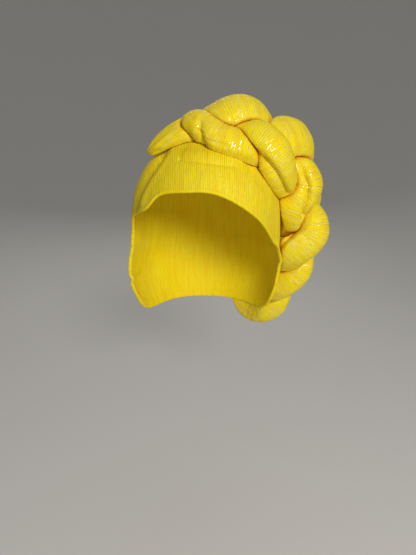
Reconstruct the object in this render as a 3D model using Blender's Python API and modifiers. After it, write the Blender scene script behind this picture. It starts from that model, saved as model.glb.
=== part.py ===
"""A padded turban: a fitted cloth cap with a stuffed three-strand plait sewn over it.

Metres, +Z up, +X to the wearer's left, the face towards -Y. The origin is the inside of the
crown, where it rests on the top of the head.
"""

from collections import namedtuple

import bmesh
import bpy
import numpy as np

# Cap: its inside is half an ellipsoid over walls that follow the table of levels to the hem.
WALL = 0.002
CROWN_HEIGHT = 0.088
CAP_COLUMNS = 60
CAP_ROWS = 15
ROW_CROWDING = 0.85

# One row for each level below the crown: half widths on the wearer's right and left, half depth.
Level = namedtuple("Level", "height right left depth")
LEVELS = (
    Level(height=-0.088, right=0.080, left=0.080, depth=0.096),
    Level(height=-0.120, right=0.082, left=0.082, depth=0.095),
    Level(height=-0.148, right=0.086, left=0.082, depth=0.092),
    Level(height=-0.172, right=0.084, left=0.078, depth=0.087),
    Level(height=-0.206, right=0.076, left=0.072, depth=0.078),
)

# One row for each bend of the hem: turn is 0 at the wearer's left ear and -90 at the forehead.
Bend = namedtuple("Bend", "turn height")
HEM = (
    Bend(turn=-270, height=-0.203),
    Bend(turn=-225, height=-0.204),
    Bend(turn=-192, height=-0.198),
    Bend(turn=-182, height=-0.172),
    Bend(turn=-179, height=-0.148),
    Bend(turn=-175, height=-0.112),
    Bend(turn=-167, height=-0.088),
    Bend(turn=-150, height=-0.079),
    Bend(turn=-134, height=-0.073),
    Bend(turn=-126, height=-0.063),
    Bend(turn=-117, height=-0.059),
    Bend(turn=-104, height=-0.058),
    Bend(turn=-90, height=-0.058),
    Bend(turn=-78, height=-0.062),
    Bend(turn=-63, height=-0.073),
    Bend(turn=-49, height=-0.087),
    Bend(turn=-34, height=-0.107),
    Bend(turn=-15, height=-0.129),
    Bend(turn=-7, height=-0.150),
    Bend(turn=-1, height=-0.178),
    Bend(turn=12, height=-0.198),
    Bend(turn=45, height=-0.204),
    Bend(turn=90, height=-0.203),
)

# Plait: one row for each lobe, counted along the plait from the wearer's right temple. x, y and z
# are the plait's middle there, swing is how far its strands go to each side, rise how far they
# go over and under each other, and lean turns the plait's face to the front. half_width and
# half_depth are those of the one strand that is at the plait's edge there.
Lobe = namedtuple("Lobe", "count x y z swing rise lean half_width half_depth")
LOBES = (
    Lobe(-2, -0.066, -0.020, -0.058, 0.002, 0.001, 0, 0.010, 0.008),
    Lobe(-1, -0.038, -0.032, -0.014, 0.005, 0.005, 10, 0.015, 0.009),
    Lobe(0, -0.012, -0.035, 0.004, 0.012, 0.008, 16, 0.019, 0.013),
    Lobe(1, 0.019, -0.043, 0.001, 0.019, 0.009, 18, 0.0175, 0.012),
    Lobe(2, 0.050, -0.041, -0.007, 0.022, 0.010, 18, 0.024, 0.016),
    Lobe(3, 0.076, -0.028, -0.021, 0.024, 0.010, 18, 0.020, 0.015),
    Lobe(4, 0.096, -0.010, -0.041, 0.021, 0.011, 15, 0.027, 0.019),
    Lobe(5, 0.100, 0.001, -0.066, 0.023, 0.011, 12, 0.0205, 0.016),
    Lobe(6, 0.107, 0.008, -0.090, 0.023, 0.011, 6, 0.024, 0.018),
    Lobe(7, 0.107, 0.015, -0.112, 0.023, 0.011, 0, 0.020, 0.017),
    Lobe(8, 0.102, 0.024, -0.135, 0.022, 0.010, 0, 0.020, 0.016),
    Lobe(9, 0.094, 0.036, -0.159, 0.021, 0.009, 0, 0.018, 0.013),
    Lobe(10, 0.084, 0.050, -0.182, 0.019, 0.009, 0, 0.018, 0.014),
    Lobe(11, 0.069, 0.063, -0.201, 0.016, 0.008, 0, 0.018, 0.014),
    Lobe(12, 0.050, 0.081, -0.186, 0.007, 0.004, 0, 0.012, 0.010),
)
# A strand is at the front edge every sixth lobe and at the back edge halfway between.
LOBES_A_TURN = 6
LOBES_TO_CREST = 0.75
# No strand's line comes nearer the cap's inside than this, with its approach eased.
LINE_ABOVE_CAP = 0.009
LINE_EASING = 0.003
# The stuffing sinks, so a strand is this much deeper below its line than above it.
SINK = 1.6

# One row for each strand: a lobe at which it is in front, the counts at which it starts and stops,
# and the lengths over which its two ends narrow to a round tip.
Strand = namedtuple("Strand", "name front_lobe first last start_length end_length")
STRANDS = (
    Strand("plait_strand_a", 1, first=-0.10, last=11.4, start_length=0.015, end_length=0.028),
    Strand("plait_strand_b", -1, first=-1.40, last=12.0, start_length=0.042, end_length=0.034),
    Strand("plait_strand_c", 3, first=0.10, last=11.1, start_length=0.015, end_length=0.028),
)
STRAND_SIDES = 18
STRAND_RINGS = 58
END_RINGS = 7
LINE_SAMPLES = 400
STRAND_GAP = 0.0015
CAP_GAP = 0.0007
HALVINGS = 14

YELLOW = (0.80, 0.60, 0.015)


def through(rows, column, wanted, at):
    """The named columns at the places `at`, on a natural cubic spline through the table's rows."""
    knots = np.array([getattr(row, column) for row in rows])
    values = np.array([[getattr(row, name) for name in wanted] for row in rows], float)
    count = len(knots)
    step = np.diff(knots)
    slope = np.diff(values, axis=0) / step[:, None]
    system = np.eye(count)
    target = np.zeros_like(values)
    for i in range(1, count - 1):
        system[i, i - 1 : i + 2] = step[i - 1], 2 * (step[i - 1] + step[i]), step[i]
        target[i] = 6 * (slope[i] - slope[i - 1])
    bend = np.linalg.solve(system, target)
    i = np.clip(np.searchsorted(knots, at) - 1, 0, count - 2)
    t = (at - knots[i])[:, None]
    h = step[i][:, None]
    rate = slope[i] - h * (2 * bend[i] + bend[i + 1]) / 6
    return values[i] + rate * t + bend[i] / 2 * t**2 + (bend[i + 1] - bend[i]) / (6 * h) * t**3


def unit(vectors):
    return vectors / np.linalg.norm(vectors, axis=-1, keepdims=True)


def across(vectors, directions):
    """The vectors without their part along the directions, at length one."""
    return unit(vectors - directions * np.sum(vectors * directions, axis=-1, keepdims=True))


def cap_half_sizes(x, z):
    """Half width on the side of x, and half depth, of the inside of the cap at height z."""
    levels = LEVELS[::-1]
    lowest, highest = levels[0].height, levels[-1].height
    sizes = through(levels, "height", ("right", "left", "depth"), np.clip(z, lowest, highest))
    return np.where(x < 0, sizes[:, 0], sizes[:, 1]), sizes[:, 2]


def cap_ratio(points):
    """How far out each point is, as a share of the way from the cap's axis to its inside."""
    x, y, z = points.T
    half_width, half_depth = cap_half_sizes(x, z)
    above = np.maximum(z + CROWN_HEIGHT, 0)
    return np.sqrt((x / half_width) ** 2 + (y / half_depth) ** 2 + (above / CROWN_HEIGHT) ** 2)


def cap_outward(points):
    """The direction in which cap_ratio grows fastest at each point."""
    nudge = 0.0005 * np.eye(3)
    return unit(np.stack([cap_ratio(points + n) - cap_ratio(points - n) for n in nudge], axis=1))


def above_cap(points):
    """Distance from the inside of the cap to each point, along the line from the cap's axis."""
    from_axis = points + (0, 0, CROWN_HEIGHT)
    from_axis[:, 2] = np.maximum(from_axis[:, 2], 0)
    return np.linalg.norm(from_axis, axis=1) * (1 - 1 / cap_ratio(points))


def cap_points(turn, height):
    """Points of the inside of the cap at a turn round the head in degrees and a height."""
    angle = np.radians(turn)
    half_width, half_depth = cap_half_sizes(np.cos(angle), height)
    above = np.clip(height + CROWN_HEIGHT, 0, CROWN_HEIGHT)
    share = np.sqrt(1 - (above / CROWN_HEIGHT) ** 2)
    x = half_width * share * np.cos(angle)
    y = half_depth * share * np.sin(angle)
    return np.stack([x, y, height], axis=-1)


def hem_line(count):
    """Turns and heights of the hem, evenly spaced along it, from the nape round to the nape."""
    rows = [bend._asdict() for bend in HEM]
    arc = [CROWN_HEIGHT * np.radians(row["turn"]) for row in rows]
    steps = np.hypot(np.diff(arc), np.diff([row["height"] for row in rows]))
    Place = namedtuple("Place", "along turn height")
    along = np.concatenate([[0], np.cumsum(steps)])
    places = [Place(a, row["turn"], row["height"]) for a, row in zip(along, rows)]
    at = np.linspace(0, along[-1], count, endpoint=False)
    return through(places, "along", ("turn", "height"), at).T


def mesh_object(name, points, faces, colour):
    mesh = bpy.data.meshes.new(name)
    mesh.from_pydata([tuple(point) for point in points], [], faces)
    mesh.shade_smooth()
    material = bpy.data.materials.new(f"{name}_cloth")
    material.use_nodes = True
    shader = material.node_tree.nodes["Principled BSDF"]
    shader.inputs["Base Color"].default_value = (*colour, 1)
    shader.inputs["Roughness"].default_value = 0.45
    shader.inputs["Metallic"].default_value = 0.0
    mesh.materials.append(material)
    return bpy.data.objects.new(name, mesh)


def grid_faces(rows, columns):
    """Quads of a grid whose columns close round, rows counted from the first ring."""
    return [
        (
            row * columns + column,
            row * columns + (column + 1) % columns,
            (row + 1) * columns + (column + 1) % columns,
            (row + 1) * columns + column,
        )
        for row in range(rows - 1)
        for column in range(columns)
    ]


def make_cap():
    """The cap: rings from the vertex down to the hem, given its wall by a Solidify modifier.

    Each column runs down over the quarter circle of the crown, then down the wall, and its
    rings share that run evenly.
    """
    turns, hems = hem_line(CAP_COLUMNS)
    quarter = CROWN_HEIGHT * np.pi / 2
    hem_tilt = np.arccos(np.clip(1 + hems / CROWN_HEIGHT, 0, 1))
    run = CROWN_HEIGHT * hem_tilt + np.maximum(-hems - CROWN_HEIGHT, 0)
    rings = []
    for row in range(1, CAP_ROWS + 1):
        gone = run * (row / CAP_ROWS) ** ROW_CROWDING
        tilt = np.minimum(gone, quarter) / CROWN_HEIGHT
        height = -CROWN_HEIGHT * (1 - np.cos(tilt)) - np.maximum(gone - quarter, 0)
        rings.append(cap_points(turns, height))
    points = np.concatenate([[[0, 0, 0]], *rings])
    faces = [(0, 1 + i, 1 + (i + 1) % CAP_COLUMNS) for i in range(CAP_COLUMNS)]
    faces += [tuple(1 + i for i in face[::-1]) for face in grid_faces(CAP_ROWS, CAP_COLUMNS)]
    cap = mesh_object("cap", points, faces, YELLOW)
    solidify = cap.modifiers.new("wall", "SOLIDIFY")
    solidify.thickness = WALL
    solidify.offset = 1
    return cap


def strand_line(strand, at):
    """Middle, directions and half sizes of a strand at places counted in lobes.

    The plait's middle and its frame come from the table of lobes. The strand swings to the
    front and back edge once every six lobes and rises over the others once every three, and
    where that would bring it too near the cap it is lifted off.
    """
    names = ("x", "y", "z", "swing", "rise", "lean")
    places = through(LOBES, "count", names, at)
    ahead = through(LOBES, "count", names, at + 0.001)
    middle = places[:, :3]
    along = unit(ahead[:, :3] - middle)
    out = across(cap_outward(middle), along)
    front = np.cross(along, out)
    lean = np.radians(places[:, 5:6])
    front, out = front * np.cos(lean) - out * np.sin(lean), out * np.cos(lean) + front * np.sin(lean)
    phase = 2 * np.pi * (at - strand.front_lobe) / LOBES_A_TURN
    crest = 2 * np.pi * (at - strand.front_lobe + LOBES_TO_CREST) / (LOBES_A_TURN / 2)
    swing = places[:, 3:4] * np.cos(phase)[:, None]
    rise = places[:, 4:5] * np.cos(crest)[:, None]
    centre = middle + front * swing + out * rise
    missing = LINE_ABOVE_CAP - above_cap(centre)[:, None]
    centre = centre + cap_outward(centre) * (missing + np.hypot(missing, LINE_EASING)) / 2
    own = [lobe for lobe in LOBES if (lobe.count - strand.front_lobe) % (LOBES_A_TURN // 2) == 0]
    within = np.clip(at, own[0].count, own[-1].count)
    sizes = through(own, "count", ("half_width", "half_depth"), within)
    return centre, out, sizes


def strand_rings(strand, rings):
    """Centres, side and outward half axes of the rings, with a round end at both ends."""
    fine = np.linspace(strand.first, strand.last, LINE_SAMPLES)
    centre, _, _ = strand_line(strand, fine)
    steps = np.linalg.norm(np.diff(centre, axis=0), axis=1)
    run = np.concatenate([[0], np.cumsum(steps)])
    tilt = np.linspace(0.12, np.pi / 2, END_RINGS, endpoint=False)
    start = strand.start_length * (1 - np.cos(tilt))
    end = run[-1] - strand.end_length * (1 - np.cos(tilt[::-1]))
    body = np.linspace(strand.start_length, run[-1] - strand.end_length, rings)
    distance = np.concatenate([start, body, end])
    taper = np.concatenate([np.sin(tilt), np.ones(rings), np.sin(tilt)[::-1]])
    centre, out, sizes = strand_line(strand, np.interp(distance, run, fine))
    along = unit(np.gradient(centre, axis=0))
    out = across(out, along)
    side = np.cross(along, out)
    return centre, side, out, sizes * taper[:, None]


def closeness(points, rings):
    """Distance to a strand's line as a share of its half size there, so one is its free skin."""
    centre, _, out, sizes = rings
    from_line = points[:, None, :] - centre
    outward = np.einsum("pri,ri->pr", from_line, out)
    level = np.maximum(np.sum(from_line**2, axis=2) - outward**2, 0)
    depth = sizes[:, 1] * np.where(outward < 0, SINK, 1)
    return np.sqrt(level / sizes[:, 0] ** 2 + outward**2 / depth**2).min(axis=1)


def strand_surface(strand):
    """Rings of skin points, pressed flat where the strand meets its neighbours and the cap.

    Each point goes out from the strand's line until it is as close to another strand as to its
    own, in shares of their half sizes, or reaches the cap. It is found by halving.
    """
    centre, side, out, sizes = strand_rings(strand, STRAND_RINGS)
    others = [strand_rings(other, LINE_SAMPLES) for other in STRANDS if other is not strand]
    angle = np.linspace(0, 2 * np.pi, STRAND_SIDES, endpoint=False)[None, :, None]
    spoke = side[:, None, :] * sizes[:, None, 0:1] * np.cos(angle)
    depth = sizes[:, None, 1:2] * np.sin(angle) * np.where(np.sin(angle) < 0, SINK, 1)
    spoke = spoke + out[:, None, :] * depth
    margin = STRAND_GAP / 2 / sizes.min(axis=1)[:, None]
    inside = np.zeros(spoke.shape[:2])
    outside = np.ones(spoke.shape[:2])
    reach = outside
    for _ in range(HALVINGS):
        points = (centre[:, None, :] + spoke * reach[:, :, None]).reshape(-1, 3)
        neighbour = np.min([closeness(points, other) for other in others], axis=0)
        clear_of_cap = above_cap(points) > WALL + CAP_GAP
        free = (reach + margin < neighbour.reshape(reach.shape)) & clear_of_cap.reshape(reach.shape)
        inside = np.where(free, reach, inside)
        outside = np.where(free, outside, reach)
        reach = (inside + outside) / 2
    return centre[:, None, :] + spoke * inside[:, :, None]


def make_strand(strand):
    skin = strand_surface(strand)
    rings = len(skin)
    faces = [face[::-1] for face in grid_faces(rings, STRAND_SIDES)]
    faces.append(tuple(range(STRAND_SIDES)))
    faces.append(tuple((rings - 1) * STRAND_SIDES + i for i in reversed(range(STRAND_SIDES))))
    made = mesh_object(strand.name, skin.reshape(-1, 3), faces, YELLOW)
    shape = bmesh.new()
    shape.from_mesh(made.data)
    bmesh.ops.recalc_face_normals(shape, faces=shape.faces)
    shape.to_mesh(made.data)
    shape.free()
    return made


for old in list(bpy.data.objects):
    bpy.data.objects.remove(old)

turban = bpy.data.collections.new("turban")
bpy.context.scene.collection.children.link(turban)
turban.objects.link(make_cap())
for one in STRANDS:
    turban.objects.link(make_strand(one))
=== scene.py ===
"""A padded turban: a fitted cap of yellow strip-woven cloth with a stuffed plait sewn over it.

Metres, +Z up, +X to the wearer's left, the face towards -Y. The origin is the inside of the
crown. It is made in the order in which it is put together: the cap, then the strands.
"""

from collections import namedtuple

import bpy
import numpy as np
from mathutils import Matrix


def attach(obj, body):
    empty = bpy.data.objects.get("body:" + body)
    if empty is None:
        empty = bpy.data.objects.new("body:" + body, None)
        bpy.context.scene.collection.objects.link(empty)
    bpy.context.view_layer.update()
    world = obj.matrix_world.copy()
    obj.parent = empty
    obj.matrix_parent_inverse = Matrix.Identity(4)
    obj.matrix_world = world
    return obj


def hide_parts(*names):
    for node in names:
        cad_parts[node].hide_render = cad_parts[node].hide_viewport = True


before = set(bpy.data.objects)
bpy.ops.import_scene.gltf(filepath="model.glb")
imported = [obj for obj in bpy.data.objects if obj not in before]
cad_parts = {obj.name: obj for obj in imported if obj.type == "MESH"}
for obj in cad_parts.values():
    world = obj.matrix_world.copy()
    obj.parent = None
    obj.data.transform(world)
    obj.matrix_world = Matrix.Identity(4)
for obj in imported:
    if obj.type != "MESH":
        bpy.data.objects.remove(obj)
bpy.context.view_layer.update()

# The cap is cut from one thickness of strip-woven cloth, with its silver stripes running down,
# and pulled smooth over the head. Its edge is turned under all the way round the face and the
# nape, which leaves a thin rounded rim. The plait is sewn on over it.
WALL = 0.002
CROWN_HEIGHT = 0.088
CAP_COLUMNS = 400
CAP_ROWS = 116
ROW_CROWDING = 0.85
RIM_ROWS = 7
RIM_SWELL = 0.0008
RIM_WIDTH = 0.0016
# How wide the hem is that is turned under, how high its edge stands and how soft that edge is.
TURN_UNDER = 0.009
TURN_UNDER_STEP = 0.0007
TURN_UNDER_EDGE = 0.0004
# The soft waves of the cloth: how high they are, and how long round the head and down it.
WAVE_HEIGHT = 0.0005
WAVE_ROUND = 0.045
WAVE_DOWN = 0.050
# Waves and folds fade in from the top over this much of the crown's quarter circle, in radians.
FOLDS_FADE_IN = 0.3
# Turns from the middle of the forehead where the front lie of the stripes ends and the back begins.
FRONT_CLOTH = 50
BACK_CLOTH = 88
# The small step in metres by which directions off the cap are felt out.
NUDGE = 0.0005

# One row for each level below the crown: half widths on the wearer's right and left, half depth.
Level = namedtuple("Level", "height right left depth")
LEVELS = (
    Level(height=-0.088, right=0.080, left=0.080, depth=0.096),
    Level(height=-0.120, right=0.082, left=0.082, depth=0.095),
    Level(height=-0.148, right=0.086, left=0.082, depth=0.092),
    Level(height=-0.172, right=0.084, left=0.078, depth=0.087),
    Level(height=-0.206, right=0.076, left=0.072, depth=0.078),
)

# One row for each bend of the hem: turn is 0 at the wearer's left ear and -90 at the forehead.
Bend = namedtuple("Bend", "turn height")
HEM = (
    Bend(turn=-270, height=-0.203),
    Bend(turn=-225, height=-0.204),
    Bend(turn=-192, height=-0.198),
    Bend(turn=-182, height=-0.172),
    Bend(turn=-179, height=-0.148),
    Bend(turn=-175, height=-0.112),
    Bend(turn=-167, height=-0.088),
    Bend(turn=-150, height=-0.079),
    Bend(turn=-134, height=-0.073),
    Bend(turn=-126, height=-0.063),
    Bend(turn=-117, height=-0.059),
    Bend(turn=-104, height=-0.058),
    Bend(turn=-90, height=-0.058),
    Bend(turn=-78, height=-0.062),
    Bend(turn=-63, height=-0.073),
    Bend(turn=-49, height=-0.087),
    Bend(turn=-34, height=-0.107),
    Bend(turn=-15, height=-0.129),
    Bend(turn=-7, height=-0.150),
    Bend(turn=-1, height=-0.178),
    Bend(turn=12, height=-0.198),
    Bend(turn=45, height=-0.204),
    Bend(turn=90, height=-0.203),
)

# One row for each soft fold of the cap: its line from one turn and height to another, how deep
# it lies (a ridge is less than nothing) and how wide it is.
Fold = namedtuple("Fold", "turn height to_turn to_height depth width")
CAP_FOLDS = (
    Fold(-139, -0.030, -156, -0.078, 0.0046, 0.0100),
    Fold(-158, -0.035, -176, -0.090, -0.0014, 0.007),
    Fold(-172, -0.030, -178, -0.062, 0.0062, 0.016),
    Fold(-128, -0.032, -142, -0.068, -0.0014, 0.006),
    Fold(-114, -0.030, -66, -0.037, 0.0012, 0.0016),
    Fold(-108, -0.025, -60, -0.031, -0.0016, 0.005),
    Fold(-181, -0.115, -184, -0.150, -0.0026, 0.010),
    Fold(-176, -0.162, -196, -0.158, 0.0022, 0.003),
    Fold(-40, -0.080, -20, -0.120, 0.0012, 0.010),
    Fold(-26, -0.112, -12, -0.136, -0.0024, 0.005),
    Fold(-60, -0.045, -38, -0.075, -0.0010, 0.010),
    Fold(120, -0.120, 60, -0.130, 0.0014, 0.012),
    Fold(140, -0.165, 40, -0.172, -0.0012, 0.010),
    Fold(105, -0.100, 95, -0.195, -0.0008, 0.014),
)


def through(rows, column, wanted, at):
    """The named columns at the places `at`, on a natural cubic spline through the table's rows."""
    knots = np.array([getattr(row, column) for row in rows])
    values = np.array([[getattr(row, name) for name in wanted] for row in rows], float)
    count = len(knots)
    step = np.diff(knots)
    slope = np.diff(values, axis=0) / step[:, None]
    system = np.eye(count)
    target = np.zeros_like(values)
    for i in range(1, count - 1):
        system[i, i - 1 : i + 2] = step[i - 1], 2 * (step[i - 1] + step[i]), step[i]
        target[i] = 6 * (slope[i] - slope[i - 1])
    bend = np.linalg.solve(system, target)
    i = np.clip(np.searchsorted(knots, at) - 1, 0, count - 2)
    t = (at - knots[i])[..., None]
    h = step[i][..., None]
    rate = slope[i] - h * (2 * bend[i] + bend[i + 1]) / 6
    return values[i] + rate * t + bend[i] / 2 * t**2 + (bend[i + 1] - bend[i]) / (6 * h) * t**3


def unit(vectors):
    """The vectors divided by their length."""
    return vectors / np.linalg.norm(vectors, axis=-1, keepdims=True)


def across(vectors, directions):
    """The vectors without their part along the directions, at length one."""
    return unit(vectors - directions * np.sum(vectors * directions, axis=-1, keepdims=True))


def cap_half_sizes(x, z):
    """Half width on the side of x, and half depth, of the inside of the cap at height z."""
    levels = LEVELS[::-1]
    lowest, highest = levels[0].height, levels[-1].height
    sizes = through(levels, "height", ("right", "left", "depth"), np.clip(z, lowest, highest))
    return np.where(x < 0, sizes[..., 0], sizes[..., 1]), sizes[..., 2]


def cap_ratio(points):
    """How far out each point is, as a share of the way from the cap's axis to its inside.

    The root of (x / half width)^2 + (y / half depth)^2 + (height over the wall's top / crown)^2.
    """
    x, y, z = points[..., 0], points[..., 1], points[..., 2]
    half_width, half_depth = cap_half_sizes(x, z)
    above = np.maximum(z + CROWN_HEIGHT, 0)
    return np.sqrt((x / half_width) ** 2 + (y / half_depth) ** 2 + (above / CROWN_HEIGHT) ** 2)


def cap_outward(points):
    """The direction in which cap_ratio grows fastest at each point, from a small step each way."""
    nudges = NUDGE * np.eye(3)
    return unit(np.stack([cap_ratio(points + n) - cap_ratio(points - n) for n in nudges], axis=-1))


def cap_points(turn, height):
    """Points of the inside of the cap at a turn round the head in degrees and a height.

    An ellipse of the level's half sizes, drawn in by the crown's quarter circle above the wall.
    """
    angle = np.radians(turn)
    half_width, half_depth = cap_half_sizes(np.cos(angle), height)
    above = np.clip(height + CROWN_HEIGHT, 0, CROWN_HEIGHT)
    share = np.sqrt(1 - (above / CROWN_HEIGHT) ** 2)
    x = half_width * share * np.cos(angle)
    y = half_depth * share * np.sin(angle)
    return np.stack([x, y, height], axis=-1)


def hem_line(count):
    """Turns and heights of the hem, evenly spaced along it, from the nape round to the nape."""
    rows = [bend._asdict() for bend in HEM]
    arc = [CROWN_HEIGHT * np.radians(row["turn"]) for row in rows]
    steps = np.hypot(np.diff(arc), np.diff([row["height"] for row in rows]))
    Place = namedtuple("Place", "along turn height")
    along = np.concatenate([[0], np.cumsum(steps)])
    places = [Place(a, row["turn"], row["height"]) for a, row in zip(along, rows)]
    at = np.linspace(0, along[-1], count, endpoint=False)
    return through(places, "along", ("turn", "height"), at).T


def from_segment(x, y, start, end):
    """Distance of places (x, y) from the nearest point of the straight line between two places."""
    span = np.subtract(end, start)
    share = ((x - start[0]) * span[0] + (y - start[1]) * span[1]) / (span @ span)
    held = np.clip(share, 0, 1)
    return np.hypot(x - start[0] - held * span[0], y - start[1] - held * span[1])


# A smooth random height: its number of sine waves, how many of each fit in one unit at the least
# and at the most, and what their sum is divided by besides the root of their number.
WAVE_COUNT = 7
LOWEST_PITCH = 0.7
HIGHEST_PITCH = 1.4
WAVE_LEVEL = 1.6


def waves(x, y, seed):
    """Smooth random height, mostly between -1 and 1, from sine waves of random direction and phase.

    It is their sum over WAVE_LEVEL times the root of their number. One unit of x or y is about
    the distance from a hollow to the next.
    """
    draw = np.random.default_rng(seed)
    total = np.zeros(np.broadcast(x, y).shape)
    for _ in range(WAVE_COUNT):
        heading, phase = draw.uniform(0, 2 * np.pi, 2)
        pitch = draw.uniform(LOWEST_PITCH, HIGHEST_PITCH)
        total += np.sin(2 * np.pi * pitch * (x * np.cos(heading) + y * np.sin(heading)) + phase)
    return total / WAVE_COUNT**0.5 / WAVE_LEVEL


def cap_folds(turn, height):
    """How far the cap's cloth stands out at each turn and height, from its folds and soft waves.

    Each fold is a groove or ridge across its line: depth * e^-(distance / width)^2.
    """
    arc = CROWN_HEIGHT * np.radians((turn + 270) % 360)
    out = WAVE_HEIGHT * waves(arc / WAVE_ROUND, height / WAVE_DOWN, seed=3)
    for fold in CAP_FOLDS:
        start = CROWN_HEIGHT * np.radians((fold.turn + 270) % 360), fold.height
        end = CROWN_HEIGHT * np.radians((fold.to_turn + 270) % 360), fold.to_height
        distance = from_segment(arc, height, start, end)
        out = out - fold.depth * np.exp(-((distance / fold.width) ** 2))
    return out


def cap_cloth_places(turn, height, gone, points):
    """Where each point of the cap lies on its cloth: U across the stripes, V along them.

    In front the stripes are where upright planes from front to back cut the cap, so that U is the
    arc sine of x over the half width. Behind they are the lines down from the crown, with U the
    way round the head. The two are joined by a smooth step of the turn on both sides.
    """
    half_width, half_depth = cap_half_sizes(points[..., 0], points[..., 2])
    across_front = CROWN_HEIGHT * np.arcsin(np.clip(points[..., 0] / half_width, -1, 1))
    above = np.maximum(height + CROWN_HEIGHT, 0) / CROWN_HEIGHT
    over = CROWN_HEIGHT * np.arctan2(np.abs(points[..., 1]) / half_depth, above + 1e-9)
    down_front = over + np.maximum(-height - CROWN_HEIGHT, 0)
    around = CROWN_HEIGHT * np.radians(turn + 90)
    off_front = np.abs(turn + 90)
    share = np.clip((off_front - FRONT_CLOTH) / (BACK_CLOTH - FRONT_CLOTH), 0, 1)
    share = share * share * (3 - 2 * share)
    over_stripes = across_front + (around - across_front) * share
    down = down_front + (gone - down_front) * share
    return np.stack([over_stripes, down], axis=-1)


def cap_rings():
    """The cap as rings down the outside, round the rim and up the inside, with UV and plainness.

    Each column runs down over the quarter circle of the crown and then down the wall. The rim is
    a half circle of the wall's thickness, and the cloth swells towards it by e^-(distance /
    width)^2. Inside, an S-shaped step 1 / (1 + e^(distance / softness)) is the turned hem's
    edge. The rim and the inside show the cloth's plain back.
    """
    turns, hems = hem_line(CAP_COLUMNS)
    quarter = CROWN_HEIGHT * np.pi / 2
    hem_tilt = np.arccos(np.clip(1 + hems / CROWN_HEIGHT, 0, 1))
    run = CROWN_HEIGHT * hem_tilt + np.maximum(-hems - CROWN_HEIGHT, 0)
    share = (np.arange(1, CAP_ROWS + 1) / CAP_ROWS) ** ROW_CROWDING
    gone = share[:, None] * run
    tilt = np.minimum(gone, quarter) / CROWN_HEIGHT
    height = -CROWN_HEIGHT * (1 - np.cos(tilt)) - np.maximum(gone - quarter, 0)
    turn = np.broadcast_to(turns, height.shape)
    plain = cap_points(turn, height)
    outward = cap_outward(plain)
    to_edge = run - gone
    folds = cap_folds(turn, height)[..., None] * np.minimum(tilt / FOLDS_FADE_IN, 1)[..., None]
    on_rim = np.exp(-((to_edge / RIM_WIDTH) ** 2))
    swell = RIM_SWELL * on_rim[..., None]
    under = TURN_UNDER_STEP / (1 + np.exp((to_edge - TURN_UNDER) / TURN_UNDER_EDGE))[..., None]
    middle = plain + outward * (WALL / 2 + folds)
    outside = middle + outward * (WALL / 2 + swell)
    inside = middle - outward * (WALL / 2 + under)
    edge = (outside[-1] + inside[-1]) / 2
    radius = np.linalg.norm(outside[-1] - inside[-1], axis=1)[:, None] / 2
    down = across(plain[-1] - plain[-3], outward[-1])
    bend = np.linspace(0, np.pi, RIM_ROWS + 2)[1:-1, None, None]
    rim = edge + radius * (outward[-1] * np.cos(bend) + down * np.sin(bend))
    rings = np.concatenate([outside, rim, inside[::-1]])
    cloth = cap_cloth_places(turn, height, gone, plain)
    cloth = np.concatenate([cloth, np.repeat(cloth[-1:], RIM_ROWS, axis=0), cloth[::-1]])
    lap = CROWN_HEIGHT * 2 * np.pi
    plain_back = np.ones(rings.shape[:2])
    plain_back[:CAP_ROWS] = on_rim
    return rings, np.concatenate([cloth, cloth[:, :1] + (lap, 0)], axis=1), plain_back


def closed_form(name, rings, uv, first_pole, last_pole, **marks):
    """A mesh object from rings of points, closed at both ends by fans round a pole.

    Row by row, quads join each ring to the next, in the order that turns them outwards when
    (down the rows) x (along a ring) points out. uv has one column more than the rings, where the
    seam is. Each mark becomes a point attribute, one number for each ring point.
    """
    rows, columns = rings.shape[:2]
    index = 1 + np.arange(rows * columns).reshape(rows, columns)
    index = np.concatenate([index, index[:, :1]], axis=1)
    corners = [(slice(None, -1), slice(None, -1)), (slice(1, None), slice(None, -1))]
    corners += [(slice(1, None), slice(1, None)), (slice(None, -1), slice(1, None))]
    quads = np.stack([index[corner] for corner in corners], axis=-1).reshape(-1, 4)
    quad_uv = np.stack([uv[corner] for corner in corners], axis=2).reshape(-1, 2)
    last = rows * columns + 1
    start = np.stack([np.zeros(columns, int), index[0, :-1], index[0, 1:]], axis=-1)
    stop = np.stack([np.full(columns, last), index[-1, 1:], index[-1, :-1]], axis=-1)
    start_uv = np.stack([uv[0, :-1], uv[0, :-1], uv[0, 1:]], axis=1).reshape(-1, 2)
    stop_uv = np.stack([uv[-1, 1:], uv[-1, 1:], uv[-1, :-1]], axis=1).reshape(-1, 2)
    points = np.concatenate([[first_pole], rings.reshape(-1, 3), [last_pole]])
    mesh = bpy.data.meshes.new(name)
    mesh.from_pydata(points.tolist(), [], quads.tolist() + start.tolist() + stop.tolist())
    layer = mesh.uv_layers.new(name="cloth")
    layer.data.foreach_set("uv", np.concatenate([quad_uv, start_uv, stop_uv]).ravel())
    for mark, values in marks.items():
        attribute = mesh.attributes.new(mark, "FLOAT", "POINT")
        ends = [[values[0].mean()], values.ravel(), [values[-1].mean()]]
        attribute.data.foreach_set("value", np.concatenate(ends).astype(np.float32))
    mesh.shade_smooth()
    made = bpy.data.objects.new(name, mesh)
    bpy.context.scene.collection.objects.link(made)
    return made


def node(tree, kind, inputs=None, **settings):
    """A shader node with its settings, and its inputs set to values or joined to sockets."""
    made = tree.nodes.new(kind)
    for name, value in settings.items():
        setattr(made, name, value)
    for name, value in (inputs or {}).items():
        if isinstance(value, bpy.types.NodeSocket):
            tree.links.new(value, made.inputs[name])
        else:
            made.inputs[name].default_value = value
    return made


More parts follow.
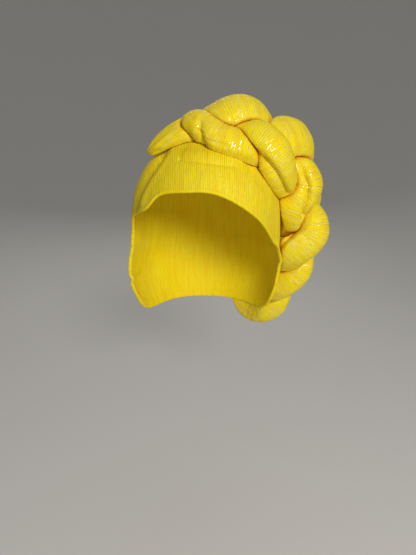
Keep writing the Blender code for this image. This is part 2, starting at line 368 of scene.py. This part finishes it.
# One row for each noise in the cloth: the size of its streaks across the stripes and along them,
# and a shift that keeps it unlike the others.
Streaks = namedtuple("Streaks", "width length shift")
DRIFT = Streaks(width=0.010, length=0.030, shift=0.0)
GROOVE_PATCHES = Streaks(width=0.005, length=0.030, shift=9.0)
THREAD_LENGTHS = Streaks(width=0.0021, length=0.012, shift=17.0)
GLEAMS = Streaks(width=0.0021, length=0.0045, shift=23.0)
CRINKLES = Streaks(width=0.0035, length=0.0011, shift=3.0)
WARM_STREAKS = Streaks(width=0.0045, length=0.040, shift=5.0)
STREAK_DETAIL = 2.0


def stretched_noise(tree, cloth, streaks):
    """Noise in streaks over the cloth's UV, from 0 to 1."""
    scale = (1 / streaks.width, 1 / streaks.length, 1)
    inputs = {"Vector": cloth, "Scale": scale, "Location": (streaks.shift, streaks.shift, 0)}
    place = node(tree, "ShaderNodeMapping", inputs)
    inputs = {"Vector": place.outputs["Vector"], "Scale": 1.0, "Detail": STREAK_DETAIL}
    return node(tree, "ShaderNodeTexNoise", inputs, noise_dimensions="2D").outputs["Fac"]


def between(tree, value, start, full):
    """0 where the value is at start or before it, 1 from full on, with a smooth step between."""
    inputs = {"Value": value, "From Min": start, "From Max": full}
    step = node(tree, "ShaderNodeMapRange", inputs, interpolation_type="SMOOTHSTEP")
    return step.outputs["Result"]


def mixed(tree, share, first, second):
    """The first colour, or the second where the share is one."""
    made = node(tree, "ShaderNodeMix", data_type="RGBA")
    sockets = made.inputs[0], made.inputs[6], made.inputs[7]
    for socket, value in zip(sockets, (share, first, second)):
        if isinstance(value, bpy.types.NodeSocket):
            tree.links.new(value, socket)
        else:
            socket.default_value = value
    return made.outputs[2]


def maths(tree, operation, first, second):
    """One sum of two values, such as MULTIPLY."""
    made = node(tree, "ShaderNodeMath", operation=operation)
    for socket, value in zip(made.inputs, (first, second)):
        if isinstance(value, bpy.types.NodeSocket):
            tree.links.new(value, socket)
        else:
            socket.default_value = value
    return made.outputs[0]


# Linear colours of the cloth: its yellow, the deeper yellow of some ribs, the orange painted as
# shade deep in a crease, the paler yellow where its nap is brushed up, the dull groove beside a
# silver thread, and the silver thread where it lies dull and where it lies bright.
YELLOW = (0.84, 0.655, 0.004, 1)
WARM_YELLOW = (0.82, 0.54, 0.003, 1)
CREASE_SHADE_ORANGE = (0.92, 0.50, 0.003, 1)
PALE_YELLOW = (0.84, 0.71, 0.030, 1)
DULL_GROOVE = (0.36, 0.28, 0.018, 1)
DULL_THREAD = (0.50, 0.42, 0.10, 1)
BRIGHT_THREAD = (0.94, 0.92, 0.80, 1)
SHEEN_TINT = (1.0, 0.88, 0.30, 1)
RIB_WIDTH = 0.0021
RIB_DRIFT = 0.0016
# The ribs' cosine falls from the first value to the second at the edge of a groove, and again at
# the edge of the thread in it.
GROOVE_EDGE = (-0.30, -0.95)
THREAD_EDGE = (-0.80, -0.97)
# Each noise counts from nothing at the first value to all of it at the second. Gleams start
# this much sooner for each unit of shine.
GROOVE_PATCH_EDGE = (0.28, 0.66)
THREAD_LENGTH_EDGE = (0.45, 0.56)
GLEAM_EDGE = (0.68, 0.75)
GLEAM_SHINE = 0.2
WARM_STREAK_EDGE = (0.55, 0.35)
NAP_EDGE = (0.35, 0.70)
# The brushed nap is a noise with this many blotches in a metre.
NAP_SCALE = 26.0
NAP_DETAIL = 3.0
# The largest share of each colour, and the least share of the grooves that shows on the back.
PALE_SHARE = 0.45
WARM_SHARE = 0.5
CREASE_SHADE_SHARE = 0.9
GROOVE_ON_BACK = 0.4
# How much of a metal the dull thread is, and how rough the yarn and the bright thread are.
DULL_METAL = 0.35
YARN_ROUGHNESS = 0.62
THREAD_ROUGHNESS = 0.24
# The relief in shares of its full height.
RIB_RELIEF = 0.16
CRINKLE_RELIEF = 0.9
RELIEF_HEIGHT = 0.0008
RELIEF_STRENGTH = 0.55


def strip_cloth(name, darkness, shine):
    """Strip-woven cloth: yellow ribs a good two millimetres wide, silver thread in the grooves.

    The ribs are a cosine of U, pushed a little to and fro by noise. A groove is where the cosine
    is lowest, darker in some patches than others and with a higher `darkness`. Its thread shows
    in broken lengths, by noise in streaks along V, and gleams as metal in short ones, more of
    them with a higher `shine`. By attributes, the yellow is painted orange as shade deep in the
    creases where the cloth is pressed, and no thread shows on its plain back.
    """
    material = bpy.data.materials.new(name)
    material.use_nodes = True
    tree = material.node_tree
    shader = tree.nodes["Principled BSDF"]
    cloth = node(tree, "ShaderNodeUVMap", uv_map="cloth").outputs["UV"]
    place = node(tree, "ShaderNodeTexCoord").outputs["Object"]
    squeezed = node(tree, "ShaderNodeAttribute", attribute_name="squeezed").outputs["Fac"]
    plain_back = node(tree, "ShaderNodeAttribute", attribute_name="plain_back").outputs["Fac"]
    across_stripes = node(tree, "ShaderNodeSeparateXYZ", {"Vector": cloth}).outputs["X"]
    drift = maths(tree, "MULTIPLY", stretched_noise(tree, cloth, DRIFT), RIB_DRIFT * 2)
    drifted = maths(tree, "ADD", across_stripes, drift)
    turns = maths(tree, "MULTIPLY", drifted, 2 * np.pi / RIB_WIDTH)
    rib = maths(tree, "COSINE", turns, 0.0)
    patch = between(tree, stretched_noise(tree, cloth, GROOVE_PATCHES), *GROOVE_PATCH_EDGE)
    outside = maths(tree, "SUBTRACT", 1.0, plain_back)
    seen = maths(tree, "MULTIPLY", patch, maths(tree, "MAXIMUM", outside, GROOVE_ON_BACK))
    groove = maths(tree, "MULTIPLY", between(tree, rib, *GROOVE_EDGE), seen)
    shown = between(tree, stretched_noise(tree, cloth, THREAD_LENGTHS), *THREAD_LENGTH_EDGE)
    shown = maths(tree, "MULTIPLY", shown, outside)
    thread = maths(tree, "MULTIPLY", between(tree, rib, *THREAD_EDGE), shown)
    start, full = (edge - GLEAM_SHINE * shine for edge in GLEAM_EDGE)
    gleam = between(tree, stretched_noise(tree, cloth, GLEAMS), start, full)
    crinkle = stretched_noise(tree, cloth, CRINKLES)
    warm = between(tree, stretched_noise(tree, cloth, WARM_STREAKS), *WARM_STREAK_EDGE)
    inputs = {"Vector": place, "Scale": NAP_SCALE, "Detail": NAP_DETAIL}
    nap = between(tree, node(tree, "ShaderNodeTexNoise", inputs).outputs["Fac"], *NAP_EDGE)
    colour = mixed(tree, maths(tree, "MULTIPLY", nap, PALE_SHARE), YELLOW, PALE_YELLOW)
    colour = mixed(tree, maths(tree, "MULTIPLY", warm, WARM_SHARE), colour, WARM_YELLOW)
    colour = mixed(tree, maths(tree, "MULTIPLY", groove, darkness), colour, DULL_GROOVE)
    # Painted shade: the yellow turns orange deep in the creases where the strands press together.
    colour = mixed(tree, maths(tree, "MULTIPLY", squeezed, CREASE_SHADE_SHARE), colour, CREASE_SHADE_ORANGE)
    colour = mixed(tree, thread, colour, mixed(tree, gleam, DULL_THREAD, BRIGHT_THREAD))
    tree.links.new(colour, shader.inputs["Base Color"])
    metal = maths(tree, "MULTIPLY", thread, maths(tree, "MAXIMUM", gleam, DULL_METAL))
    tree.links.new(metal, shader.inputs["Metallic"])
    inputs = {"Value": metal, "To Min": YARN_ROUGHNESS, "To Max": THREAD_ROUGHNESS}
    rough = node(tree, "ShaderNodeMapRange", inputs)
    tree.links.new(rough.outputs["Result"], shader.inputs["Roughness"])
    shader.inputs["Specular IOR Level"].default_value = 0.12
    shader.inputs["Sheen Weight"].default_value = 0.07
    shader.inputs["Sheen Roughness"].default_value = 0.45
    shader.inputs["Sheen Tint"].default_value = SHEEN_TINT
    ribs = maths(tree, "MULTIPLY", rib, RIB_RELIEF)
    relief = maths(tree, "ADD", ribs, maths(tree, "MULTIPLY", crinkle, CRINKLE_RELIEF))
    inputs = {"Height": relief, "Strength": RELIEF_STRENGTH, "Distance": RELIEF_HEIGHT}
    bump = node(tree, "ShaderNodeBump", inputs)
    tree.links.new(bump.outputs["Normal"], shader.inputs["Normal"])
    return material


rings, cloth_uv, plain_back = cap_rings()
top = cap_points(np.array(0.0), np.array(0.0))
cap = closed_form(
    "cap_cloth",
    rings,
    cloth_uv,
    top + (0, 0, WALL),
    top,
    squeezed=np.zeros_like(plain_back),
    plain_back=plain_back,
)
cap.data.materials.append(strip_cloth("yellow_cap_cloth", darkness=0.55, shine=0.20))
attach(cap, "root")
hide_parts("cap")

# The plait is three tubes of the same cloth, stuffed with fibre filling and crossed over each
# other, with the silver stripes running round each tube. It is hand-stitched to the cap from
# the wearer's right temple over the top and down the left side, and ends tucked in at the nape.

# One row for each lobe, counted along the plait from the right temple. x, y and z are the
# plait's middle there, swing is how far its strands go to each side, rise how far they go over
# and under each other, and lean turns the plait's face to the front. half_width and half_depth
# are those of the one strand that is at the plait's edge there.
Lobe = namedtuple("Lobe", "count x y z swing rise lean half_width half_depth")
LOBES = (
    Lobe(-2, -0.066, -0.020, -0.058, 0.002, 0.001, 0, 0.010, 0.008),
    Lobe(-1, -0.038, -0.032, -0.014, 0.005, 0.005, 10, 0.015, 0.009),
    Lobe(0, -0.012, -0.035, 0.004, 0.012, 0.008, 16, 0.019, 0.013),
    Lobe(1, 0.019, -0.043, 0.001, 0.019, 0.009, 18, 0.0175, 0.012),
    Lobe(2, 0.050, -0.041, -0.007, 0.022, 0.010, 18, 0.024, 0.016),
    Lobe(3, 0.076, -0.028, -0.021, 0.024, 0.010, 18, 0.020, 0.015),
    Lobe(4, 0.096, -0.010, -0.041, 0.021, 0.011, 15, 0.027, 0.019),
    Lobe(5, 0.100, 0.001, -0.066, 0.023, 0.011, 12, 0.0205, 0.016),
    Lobe(6, 0.107, 0.008, -0.090, 0.023, 0.011, 6, 0.024, 0.018),
    Lobe(7, 0.107, 0.015, -0.112, 0.023, 0.011, 0, 0.020, 0.017),
    Lobe(8, 0.102, 0.024, -0.135, 0.022, 0.010, 0, 0.020, 0.016),
    Lobe(9, 0.094, 0.036, -0.159, 0.021, 0.009, 0, 0.018, 0.013),
    Lobe(10, 0.084, 0.050, -0.182, 0.019, 0.009, 0, 0.018, 0.014),
    Lobe(11, 0.069, 0.063, -0.201, 0.016, 0.008, 0, 0.018, 0.014),
    Lobe(12, 0.050, 0.081, -0.186, 0.007, 0.004, 0, 0.012, 0.010),
)
# A strand is at the front edge every sixth lobe and at the back edge halfway between.
LOBES_A_TURN = 6
LOBES_TO_CREST = 0.75
# No strand's line comes nearer the cap's inside than this, with its approach eased.
LINE_ABOVE_CAP = 0.009
LINE_EASING = 0.003
# The stuffing sinks, so a strand is this much deeper below its line than above it.
SINK = 1.6

# One row for each strand: a lobe at which it is in front, the counts at which it starts and stops,
# and the lengths over which its two ends narrow to a round tip.
Strand = namedtuple("Strand", "name front_lobe first last start_length end_length")
STRANDS = (
    Strand("plait_strand_a", 1, first=-0.32, last=11.6, start_length=0.015, end_length=0.014),
    Strand("plait_strand_b", -1, first=-1.40, last=12.0, start_length=0.042, end_length=0.034),
    Strand("plait_strand_c", 3, first=0.10, last=11.4, start_length=0.015, end_length=0.014),
)
# The cloth's length for each metre of a strand's middle, for it lies smooth outside the bends.
CLOTH_ALONG = 1.22
STRAND_SIDES = 108
STRAND_RINGS = 440
END_RINGS = 24
# Where the first ring of an end lies on its quarter circle, in radians from the tip.
FIRST_TILT = 0.12
LINE_SAMPLES = 400
# How far ahead a strand's direction is taken, in lobes.
LOOK_AHEAD = 0.001
# A neighbour has this many rings, and this many to each side of a point's own count are compared.
NEIGHBOUR_RINGS = 220
NEAR_RINGS = 32
STRAND_GAP = 0.0001
# The skin is looked for between these shares of its free reach.
LEAST_REACH = 0.01
FARTHEST_REACH = 1.5
HALVINGS = 12
# How sharply the skin turns in where it meets a neighbour: more is sharper.
TUCK_SHARPNESS = 9


def above_cap(points):
    """Distance from the inside of the cap to each point, along the line from the cap's axis."""
    from_axis = points + (0, 0, CROWN_HEIGHT)
    from_axis[..., 2] = np.maximum(from_axis[..., 2], 0)
    return np.linalg.norm(from_axis, axis=-1) * (1 - 1 / cap_ratio(points))


def strand_line(strand, at):
    """Middle, directions and half sizes of a strand at places counted in lobes.

    The plait's middle and its frame come from the table of lobes. The strand swings to the front
    and back edge as a cosine with a turn of six lobes, and rises over the others as one with a
    turn of three. Where that would bring it too near the cap it is lifted off.
    """
    names = ("x", "y", "z", "swing", "rise", "lean")
    places = through(LOBES, "count", names, at)
    ahead = through(LOBES, "count", names, at + LOOK_AHEAD)
    middle = places[:, :3]
    along = unit(ahead[:, :3] - middle)
    out = across(cap_outward(middle), along)
    front = np.cross(along, out)
    lean = np.radians(places[:, 5:6])
    cosine, sine = np.cos(lean), np.sin(lean)
    front, out = front * cosine - out * sine, out * cosine + front * sine
    phase = 2 * np.pi * (at - strand.front_lobe) / LOBES_A_TURN
    crest = 2 * np.pi * (at - strand.front_lobe + LOBES_TO_CREST) / (LOBES_A_TURN / 2)
    swing = places[:, 3:4] * np.cos(phase)[:, None]
    rise = places[:, 4:5] * np.cos(crest)[:, None]
    centre = middle + front * swing + out * rise
    missing = LINE_ABOVE_CAP - above_cap(centre)[:, None]
    centre = centre + cap_outward(centre) * (missing + np.hypot(missing, LINE_EASING)) / 2
    own = [lobe for lobe in LOBES if (lobe.count - strand.front_lobe) % (LOBES_A_TURN // 2) == 0]
    within = np.clip(at, own[0].count, own[-1].count)
    sizes = through(own, "count", ("half_width", "half_depth"), within)
    return centre, out, sizes


def strand_rings(strand, rings):
    """Centres, side and outward half axes of the rings, their lobe counts and their distances.

    The rings are evenly spaced along the strand, and shrink as a quarter circle at both ends.
    """
    fine = np.linspace(strand.first, strand.last, LINE_SAMPLES)
    centre, _, _ = strand_line(strand, fine)
    steps = np.linalg.norm(np.diff(centre, axis=0), axis=1)
    run = np.concatenate([[0], np.cumsum(steps)])
    tilt = np.linspace(FIRST_TILT, np.pi / 2, END_RINGS, endpoint=False)
    start = strand.start_length * (1 - np.cos(tilt))
    end = run[-1] - strand.end_length * (1 - np.cos(tilt[::-1]))
    body = np.linspace(strand.start_length, run[-1] - strand.end_length, rings)
    distance = np.concatenate([start, body, end])
    taper = np.concatenate([np.sin(tilt), np.ones(rings), np.sin(tilt)[::-1]])
    count = np.interp(distance, run, fine)
    centre, out, sizes = strand_line(strand, count)
    along = unit(np.gradient(centre, axis=0))
    out = across(out, along)
    side = np.cross(along, out)
    return centre, side, out, sizes * taper[:, None], count, distance


def closeness(points, near):
    """Distance to a strand's line as a share of its half size there, so one is its free skin.

    Squared, it is (the level part of the distance / half width)^2 + (the outward part / half
    depth)^2, with the half depth larger on the underside. The nearest of the rings near each
    row of points counts.
    """
    centre, out, sizes = near
    squared = (points**2).sum(axis=2)[..., None] + (centre**2).sum(axis=2)[:, None]
    squared = squared - 2 * points @ centre.transpose(0, 2, 1)
    outward = points @ out.transpose(0, 2, 1) - (centre * out).sum(axis=2)[:, None]
    depth = sizes[:, None, :, 1] * np.where(outward < 0, SINK, 1)
    share = (squared - outward**2) / sizes[:, None, :, 0] ** 2 + (outward / depth) ** 2
    return np.sqrt(np.maximum(share.min(axis=2), 0))


def rings_near(other, counts):
    """The centres, outward directions and half sizes of a strand's rings near each lobe count."""
    centre, _, out, sizes, other_counts, _ = strand_rings(other, NEIGHBOUR_RINGS)
    middle = np.searchsorted(other_counts, counts)
    pick = middle[:, None] + np.arange(-NEAR_RINGS, NEAR_RINGS + 1)
    pick = np.clip(pick, 0, len(centre) - 1)
    return centre[pick], out[pick], sizes[pick]


# At the right temple the cloth of strand b lies askew, so that its stripes run nearly along it:
# U falls by this much for each metre round the strand, up to the first count below, and from
# the second count on the stripes run straight round.
ASKEW = 2.2
ASKEW_STRAND = "plait_strand_b"
ASKEW_UNTIL = -0.4
STRAIGHT_FROM = 0.9

# One row for each crease or ridge sewn or pulled into a strand: its line from one lobe count and
# angle round the strand to another, how deep it is (a ridge is less than nothing) and how wide.
# The angle is 90 on the outside of the plait, and 0 and 180 at the sides.
Crease = namedtuple("Crease", "strand count angle to_count to_angle depth width")
CREASES = (
    Crease("plait_strand_a", 0.54, 56, 0.62, 24, 0.0034, 0.0018),
    Crease("plait_strand_a", 0.62, 24, 0.76, -20, 0.0050, 0.0020),
    Crease("plait_strand_a", 0.66, 26, 1.05, 48, 0.0012, 0.0014),
    Crease("plait_strand_a", 0.70, 8, 1.10, 22, 0.0012, 0.0014),
    Crease("plait_strand_a", 0.58, 40, 0.30, 60, 0.0012, 0.0014),
    Crease("plait_strand_a", 6.02, 2, 6.20, -12, -0.0026, 0.0016),
    Crease("plait_strand_a", 6.20, -12, 6.76, -40, -0.0028, 0.0016),
    Crease("plait_strand_a", 6.76, -40, 7.24, -62, -0.0026, 0.0016),
    Crease("plait_strand_a", 7.14, -84, 7.28, -84, 0.0050, 0.0030),
    Crease("plait_strand_b", -1.45, 10, -0.70, 24, 0.0010, 0.0016),
    Crease("plait_strand_b", -1.40, -12, -1.20, -4, 0.0018, 0.0018),
    Crease("plait_strand_b", -1.35, 62, -0.55, 70, 0.0008, 0.0016),
    Crease("plait_strand_b", 3.56, 58, 3.75, 34, 0.0044, 0.0018),
    Crease("plait_strand_b", 3.75, 34, 3.95, 12, 0.0060, 0.0018),
    Crease("plait_strand_b", 3.95, 12, 4.15, 1, 0.0066, 0.0018),
    Crease("plait_strand_b", 4.15, 1, 4.50, 5, 0.0066, 0.0018),
    Crease("plait_strand_b", 4.50, 5, 4.72, 26, 0.0078, 0.0018),
    Crease("plait_strand_b", 4.72, 26, 5.10, 44, 0.0075, 0.0018),
    Crease("plait_strand_b", 5.50, -34, 5.78, -26, 0.0060, 0.0040),
    Crease("plait_strand_b", 10.25, -36, 10.70, -64, -0.0014, 0.0014),
    Crease("plait_strand_c", 1.90, -20, 2.48, -12, 0.0052, 0.0016),
    Crease("plait_strand_c", 2.48, -12, 2.80, -3, 0.0056, 0.0016),
    Crease("plait_strand_c", 2.80, -3, 3.30, 2, 0.0056, 0.0016),
    Crease("plait_strand_c", 2.00, -46, 3.10, -32, -0.0014, 0.0050),
    Crease("plait_strand_c", 8.90, 4, 9.45, -8, -0.0010, 0.0014),
)
# A crease's rounded shoulders take this share of its depth, and are this many times as wide as
# its sharp bottom.
SHOULDER_DEPTH = 0.4
SHOULDER_WIDTH = 2.4
# Where a strand is held to under GATHER_REACH times its free reach, by its neighbours or the
# cap, its cloth lies in small gathers across it. They wander by this share of their pitch.
GATHER_PITCH = 0.0062
GATHER_HEIGHT = 0.00016
GATHER_REACH = 1.25
GATHER_WANDER = 0.35
WANDER_ALONG = 0.030
WANDER_ROUND = 0.012
# The stuffing's soft lumps.
LUMP_HEIGHT = 0.0004
LUMP_LENGTH = 0.018
# Orange shade is painted into the creases, starting at this share of the free reach and full this
# much below it, but not where the tail hangs free under the cap: that fades in over LOOSE_RANGE.
CREASE_SHADE_UNDER = 1.12
CREASE_SHADE_RANGE = 0.25
LOOSE_BELOW = -0.203
LOOSE_RANGE = 0.015


def strand_skin(strand):
    """Rings of skin points with UV, painted crease shade and the line, pressed flat at its
    neighbours.

    Each point goes out from the strand's line until it is as close to another strand as to its
    own, in shares of their half sizes, or reaches the cap. That reach is found by halving, and
    the skin is a soft minimum of it and of one, the free skin: (1 + reach^-p)^(-1/p). A crease
    is depth * (0.6 e^-(distance / width) + 0.4 e^-(distance / shoulder width)^2), and where
    creases cross, the deepest counts. Gathers are a cosine of the way along, and lumps are waves.
    """
    centre, side, out, sizes, count, distance = strand_rings(strand, STRAND_RINGS)
    others = [rings_near(other, count) for other in STRANDS if other is not strand]
    turn = np.linspace(-np.pi / 2, 3 * np.pi / 2, STRAND_SIDES, endpoint=False)
    angle = turn[None, :, None]
    spoke = side[:, None, :] * sizes[:, None, 0:1] * np.cos(angle)
    depth = sizes[:, None, 1:2] * np.sin(angle) * np.where(np.sin(angle) < 0, SINK, 1)
    spoke = spoke + out[:, None, :] * depth
    margin = STRAND_GAP / 2 / sizes.min(axis=1)[:, None]
    inside = np.zeros(spoke.shape[:2])
    outside = np.full(spoke.shape[:2], FARTHEST_REACH)
    for _ in range(HALVINGS):
        reach = (inside + outside) / 2
        points = centre[:, None, :] + spoke * reach[:, :, None]
        neighbour = np.min([closeness(points, other) for other in others], axis=0)
        free = (reach + margin < neighbour) & (above_cap(points) > WALL)
        inside = np.where(free, reach, inside)
        outside = np.where(free, outside, reach)
    limit = np.maximum(inside, LEAST_REACH)
    reach = (1 + limit**-TUCK_SHARPNESS) ** (-1 / TUCK_SHARPNESS)
    size = np.linalg.norm(spoke, axis=2)
    around = np.degrees(turn)[None, :] * np.ones_like(reach)
    lobe_length = (distance[-1] - distance[0]) / (strand.last - strand.first)
    degree = sizes.mean() * np.radians(1)
    pressed = np.zeros_like(reach)
    raised = np.zeros_like(reach)
    for crease in CREASES:
        if crease.strand != strand.name:
            continue
        start = crease.count * lobe_length, crease.angle * degree
        end = crease.to_count * lobe_length, crease.to_angle * degree
        off = from_segment(count[:, None] * lobe_length, around * degree, start, end)
        bottom = (1 - SHOULDER_DEPTH) * np.exp(-off / crease.width)
        shoulder = SHOULDER_DEPTH * np.exp(-((off / crease.width / SHOULDER_WIDTH) ** 2))
        groove = crease.depth * (bottom + shoulder)
        pressed = np.maximum(pressed, groove)
        raised = np.minimum(raised, groove)
    reach = reach - (pressed + raised) / size
    arc = turn[None, :] * sizes.mean()
    lumps = LUMP_HEIGHT * waves(distance[:, None] / LUMP_LENGTH, arc / LUMP_LENGTH, seed=11)
    nearby = np.clip((GATHER_REACH - limit) / (GATHER_REACH - 1), 0, 1)
    wander = GATHER_WANDER * waves(distance[:, None] / WANDER_ALONG, arc / WANDER_ROUND, seed=5)
    gathers = np.cos(2 * np.pi * (distance[:, None] / GATHER_PITCH + wander))
    reach = reach + (lumps + GATHER_HEIGHT * nearby * gathers) / size
    skin = centre[:, None, :] + spoke * reach[:, :, None]
    # Painted shade: how much orange goes where the skin is held in by a neighbour or the cap.
    squeezed = np.clip((CREASE_SHADE_UNDER - limit) / CREASE_SHADE_RANGE, 0, 1)
    squeezed = squeezed * np.clip((skin[..., 2] - LOOSE_BELOW) / LOOSE_RANGE, 0, 1)
    width = np.append(turn, 3 * np.pi / 2) * sizes.mean()
    u, v = np.meshgrid(CLOTH_ALONG * distance, width, indexing="ij")
    if strand.name == ASKEW_STRAND:
        share = np.clip((STRAIGHT_FROM - count) / (STRAIGHT_FROM - ASKEW_UNTIL), 0, 1)
        slant = (ASKEW * share * share * (3 - 2 * share))[:, None]
        u = (u - slant * v) / np.hypot(1, slant)
    return skin, np.stack([u, v], axis=-1), squeezed, centre


plait_cloth = strip_cloth("yellow_plait_cloth", darkness=0.32, shine=1.15)
for strand in STRANDS:
    skin, cloth_uv, squeezed, centre = strand_skin(strand)
    tube = closed_form(
        f"{strand.name}_cloth", skin, cloth_uv, centre[0], centre[-1], squeezed=squeezed
    )
    tube.data.materials.append(plait_cloth)
    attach(tube, "root")
    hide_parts(strand.name)

# The setting: a plain pale floor that sweeps up into a wall all round, soft lights and a camera.
FLOOR_HEIGHT = -0.47
FLOOR_RINGS = (0.001, 0.5, 0.9)
FLOOR_RADIUS = 1.3
SWEEP_RADIUS = 2.6
SWEEP_RINGS = 24
WALL_HEIGHT = 3.4
FLOOR_SIDES = 96
PAPER_COLOUR = (0.66, 0.65, 0.63, 1)
PAPER_ROUGHNESS = 0.9
DAYLIGHT_COLOUR = (1.0, 0.99, 0.97, 1)
DAYLIGHT_STRENGTH = 0.21
LAMP_COLOUR = (1.0, 0.98, 0.95)
LAMP_AIM = (0.01, 0.0, -0.10)


def sweep_profile():
    """Distances out and heights: a level floor, a quarter circle, then a wall straight up."""
    bend = np.linspace(0, np.pi / 2, SWEEP_RINGS)
    out = np.concatenate([FLOOR_RINGS, FLOOR_RADIUS + SWEEP_RADIUS * np.sin(bend)])
    up = np.concatenate([np.zeros(len(FLOOR_RINGS)), SWEEP_RADIUS * (1 - np.cos(bend))])
    out = np.append(out, out[-1])
    return out, np.append(up, WALL_HEIGHT) + FLOOR_HEIGHT


out, up = sweep_profile()
turn = np.linspace(0, 2 * np.pi, FLOOR_SIDES, endpoint=False)
bowl = np.stack([out[:, None] * np.cos(turn), out[:, None] * np.sin(turn)], axis=-1)
bowl = np.concatenate([bowl, np.broadcast_to(up[:, None, None], bowl.shape[:2] + (1,))], axis=-1)
index = np.arange(bowl.shape[0] * FLOOR_SIDES).reshape(-1, FLOOR_SIDES)
index = np.concatenate([index, index[:, :1]], axis=1)
faces = np.stack([index[:-1, :-1], index[1:, :-1], index[1:, 1:], index[:-1, 1:]], axis=-1)
middle = [list(range(FLOOR_SIDES))]
mesh = bpy.data.meshes.new("pale_floor")
mesh.from_pydata(bowl.reshape(-1, 3).tolist(), [], middle + faces.reshape(-1, 4).tolist())
mesh.shade_smooth()
floor = bpy.data.objects.new("pale_floor", mesh)
bpy.context.scene.collection.objects.link(floor)
paper = bpy.data.materials.new("pale_paper")
paper.use_nodes = True
paper_shader = paper.node_tree.nodes["Principled BSDF"]
paper_shader.inputs["Base Color"].default_value = PAPER_COLOUR
paper_shader.inputs["Roughness"].default_value = PAPER_ROUGHNESS
mesh.materials.append(paper)

world = bpy.data.worlds.new("soft_daylight")
world.use_nodes = True
daylight = world.node_tree.nodes["Background"]
daylight.inputs["Color"].default_value = DAYLIGHT_COLOUR
daylight.inputs["Strength"].default_value = DAYLIGHT_STRENGTH
bpy.context.scene.world = world

Lamp = namedtuple("Lamp", "name x y z size power")
LAMPS = (
    Lamp("key_softbox", 0.48, -1.54, 0.48, 0.50, 23.5),
    Lamp("top_softbox", 0.25, 0.30, 1.35, 0.9, 1.0),
    Lamp("rear_softbox", -0.15, 1.50, 0.90, 1.2, 7),
)
for lamp in LAMPS:
    light = bpy.data.lights.new(lamp.name, "AREA")
    light.size = lamp.size
    light.energy = lamp.power
    light.color = LAMP_COLOUR
    softbox = bpy.data.objects.new(lamp.name, light)
    softbox.location = (lamp.x, lamp.y, lamp.z)
    aim = bpy.data.objects.new(f"{lamp.name}_aim", None)
    aim.location = LAMP_AIM
    bpy.context.scene.collection.objects.link(softbox)
    bpy.context.scene.collection.objects.link(aim)
    track = softbox.constraints.new("TRACK_TO")
    track.target = aim
    track.track_axis = "TRACK_NEGATIVE_Z"
    track.up_axis = "UP_Y"

# The camera stands level with the forehead, half a metre off, and looks down by CAMERA_TILT.
SENSOR_WIDTH = 36
CAMERA_LENS = 27.18
CAMERA_PLACE = (0.0023, -0.476, -0.0436)
CAMERA_TILT = 13.7
camera_data = bpy.data.cameras.new("camera")
camera_data.sensor_width = SENSOR_WIDTH
camera_data.lens = CAMERA_LENS
camera = bpy.data.objects.new("camera", camera_data)
camera.location = CAMERA_PLACE
camera.rotation_euler = (np.radians(90 - CAMERA_TILT), 0, 0)
bpy.context.scene.collection.objects.link(camera)
bpy.context.scene.camera = camera
bpy.context.scene.view_settings.view_transform = "Standard"
